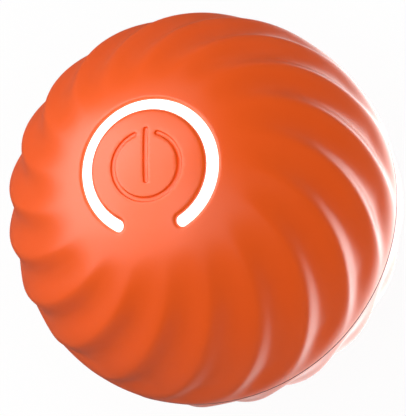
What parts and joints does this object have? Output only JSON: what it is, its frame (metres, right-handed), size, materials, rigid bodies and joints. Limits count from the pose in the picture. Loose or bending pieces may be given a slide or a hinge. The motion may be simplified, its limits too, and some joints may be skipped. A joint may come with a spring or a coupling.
{
  "type": "bouncing dog ball",
  "caption": "Self-moving rubber dog ball with slanted ridges, a lit C-shaped ring round a push button, a charging port flap, and a geared motor that swings inner weights.",
  "frame": {"origin": "centre of the ball", "axes": "+Z out through the power button, which is the axis that both ridged halves turn about; -Y is where the bottom of the power symbol points; the charging port is on the +Y side"},
  "size_m": [0.0858, 0.0858, 0.086],
  "materials": {
    "ball_rubber": "satin moulded rubber",
    "light_guide": "milky, lit white from inside",
    "liner_plastic": "moulded, satin",
    "seal_rubber": "matte",
    "frame_plastic": "moulded, satin",
    "gear_plastic": "smooth acetal",
    "circuit_board": "solder-masked glass fibre board",
    "chip_black": "moulded package",
    "lamp": "clear resin over phosphor",
    "steel": "turned or drawn",
    "weight_steel": "pressed, dull",
    "bearing_bronze": "sintered",
    "cell_foil": "pouch foil",
    "wire_red": "silicone insulation",
    "wire_black": "silicone insulation"
  },
  "bodies": {
    "root": {"front_skin": "ball_rubber", "rear_skin": "ball_rubber", "light_ring": "light_guide", "front_liner": "liner_plastic", "rear_liner": "liner_plastic", "seal_ring": "seal_rubber", "left_frame": "frame_plastic", "right_frame": "frame_plastic", "motor_end_cap": "frame_plastic", "main_board": "circuit_board", "usb_board": "circuit_board", "control_chip": "chip_black", "motion_sensor": "chip_black", "switch_body": "chip_black", "led_1": "lamp", "led_2": "lamp", "led_3": "lamp", "led_4": "lamp", "led_5": "lamp", "led_6": "lamp", "chassis_screw_1": "steel", "chassis_screw_2": "steel", "chassis_screw_3": "steel", "chassis_screw_4": "steel", "frame_screw_1": "steel", "frame_screw_2": "steel", "frame_screw_3": "steel", "board_screw_1": "steel", "board_screw_2": "steel", "usb_screw_1": "steel", "usb_screw_2": "steel", "gear_pin_a": "steel", "gear_pin_b": "steel", "motor_can": "steel", "usb_receptacle": "steel", "left_bush": "bearing_bronze", "right_bush": "bearing_bronze", "battery_cell": "cell_foil", "battery_lead_1": "wire_red", "motor_lead_1": "wire_red", "usb_lead_1": "wire_red", "battery_lead_2": "wire_black", "motor_lead_2": "wire_black", "usb_lead_2": "wire_black"},
    "button": {"power_button": "ball_rubber"},
    "plunger": {"switch_plunger": "frame_plastic"},
    "cover": {"port_cover": "ball_rubber"},
    "weights": {"output_shaft": "steel", "output_gear": "gear_plastic", "left_weight": "weight_steel", "right_weight": "weight_steel", "left_weight_screw": "steel", "right_weight_screw": "steel"},
    "gear_b": {"gear_b": "gear_plastic"},
    "gear_a": {"gear_a": "gear_plastic"},
    "rotor": {"motor_shaft": "steel", "motor_pinion": "bearing_bronze"}
  },
  "joints": [
    {"name": "button_tilt", "type": "hinge", "parent": "root", "child": "button", "pos_m": [0, -0.01365, 0.03983], "axis": [-1, 0, 0], "range_deg": [0, 1.5], "stiffness_Nm_per_rad": 1},
    {"name": "plunger_slide", "type": "slide", "parent": "root", "child": "plunger", "axis": [0, 0, -1], "range_m": [0, 0.0005]},
    {"name": "cover_hinge", "type": "hinge", "parent": "root", "child": "cover", "pos_m": [0, 0.03995, -0.01596], "axis": [1, 0, 0], "range_deg": [0, 120], "stiffness_Nm_per_rad": 0.002, "springref_deg": -2.86},
    {"name": "weight_spin", "type": "hinge", "parent": "root", "child": "weights", "pos_m": [0, 0, 0], "axis": [1, 0, 0], "continuous": true},
    {"name": "gear_b_spin", "type": "hinge", "parent": "root", "child": "gear_b", "pos_m": [0, 0.00902, 0.00328], "axis": [1, 0, 0], "continuous": true},
    {"name": "gear_a_spin", "type": "hinge", "parent": "root", "child": "gear_a", "pos_m": [0, 0.01519, 0.01064], "axis": [1, 0, 0], "continuous": true},
    {"name": "motor_spin", "type": "hinge", "parent": "root", "child": "rotor", "pos_m": [0, 0.00688, 0.01544], "axis": [1, 0, 0], "continuous": true}
  ],
  "couplings": [
    {"joint": "plunger_slide", "follows": "button_tilt", "m_per_rad": 0.01365},
    {"joint": "gear_b_spin", "follows": "weight_spin", "ratio": -3},
    {"joint": "gear_a_spin", "follows": "weight_spin", "ratio": 9},
    {"joint": "motor_spin", "follows": "weight_spin", "ratio": -27}
  ]
}
